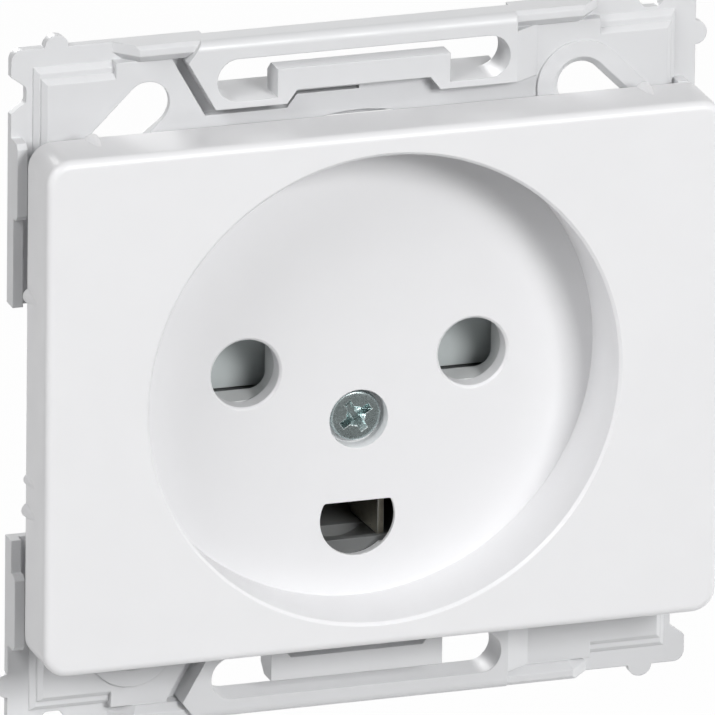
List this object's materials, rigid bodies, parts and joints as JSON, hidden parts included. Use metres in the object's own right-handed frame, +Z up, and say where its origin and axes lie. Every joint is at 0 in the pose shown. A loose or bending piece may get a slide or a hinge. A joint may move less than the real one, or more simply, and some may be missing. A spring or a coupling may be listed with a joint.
{
  "type": "wall socket",
  "caption": "Earthed wall socket outlet with a deep round plug recess, shuttered pin holes, a half-round earth hole, a moulded cover plate and a square support frame with fixing slots.",
  "frame": {"origin": "on the wall's surface, behind the midpoint between the two pin holes", "axes": "+X to the right and +Z up as seen from the room, +Y into the wall"},
  "size_m": [0.059, 0.0303, 0.0589],
  "materials": {
    "white_cover": "satin moulded plastic",
    "white_frame": "satin moulded plastic",
    "housing": "matt moulded plastic",
    "shutter": "matt moulded plastic",
    "zinc_steel": "bright zinc plate",
    "spring_steel": "bright spring steel",
    "contact_brass": "tinned brass",
    "release": "satin moulded plastic"
  },
  "bodies": {
    "socket": {"cover_plate": "white_cover", "cover_screw": "zinc_steel", "screw_nut": "zinc_steel", "support_frame": "white_frame", "socket_base": "housing", "contact_cover": "housing", "shutter_spring": "spring_steel", "live_contact": "contact_brass", "neutral_contact": "contact_brass", "earth_contact": "contact_brass", "live_clamp_spring_upper": "spring_steel", "live_clamp_spring_lower": "spring_steel", "neutral_clamp_spring_upper": "spring_steel", "neutral_clamp_spring_lower": "spring_steel", "earth_clamp_spring_left": "spring_steel", "earth_clamp_spring_right": "spring_steel"},
    "shutter": {"shutter": "shutter"},
    "live_release": {"live_release": "release"},
    "neutral_release": {"neutral_release": "release"},
    "earth_release": {"earth_release": "release"}
  },
  "joints": [
    {"name": "shutter_slide", "type": "slide", "parent": "socket", "child": "shutter", "axis": [0, 0, 1], "range_m": [0, 0.006], "stiffness_N_per_m": 40, "springref_m": -0.01, "deforming": ["shutter_spring"]},
    {"name": "live_release_press", "type": "slide", "parent": "socket", "child": "live_release", "axis": [0, -1, 0], "range_m": [0, 0.0015], "stiffness_N_per_m": 400, "springref_m": -0.001, "deforming": ["live_clamp_spring_upper", "live_clamp_spring_lower"]},
    {"name": "neutral_release_press", "type": "slide", "parent": "socket", "child": "neutral_release", "axis": [0, -1, 0], "range_m": [0, 0.0015], "stiffness_N_per_m": 400, "springref_m": -0.001, "deforming": ["neutral_clamp_spring_upper", "neutral_clamp_spring_lower"]},
    {"name": "earth_release_press", "type": "slide", "parent": "socket", "child": "earth_release", "axis": [0, -1, 0], "range_m": [0, 0.0015], "stiffness_N_per_m": 400, "springref_m": -0.001, "deforming": ["earth_clamp_spring_left", "earth_clamp_spring_right"]}
  ]
}
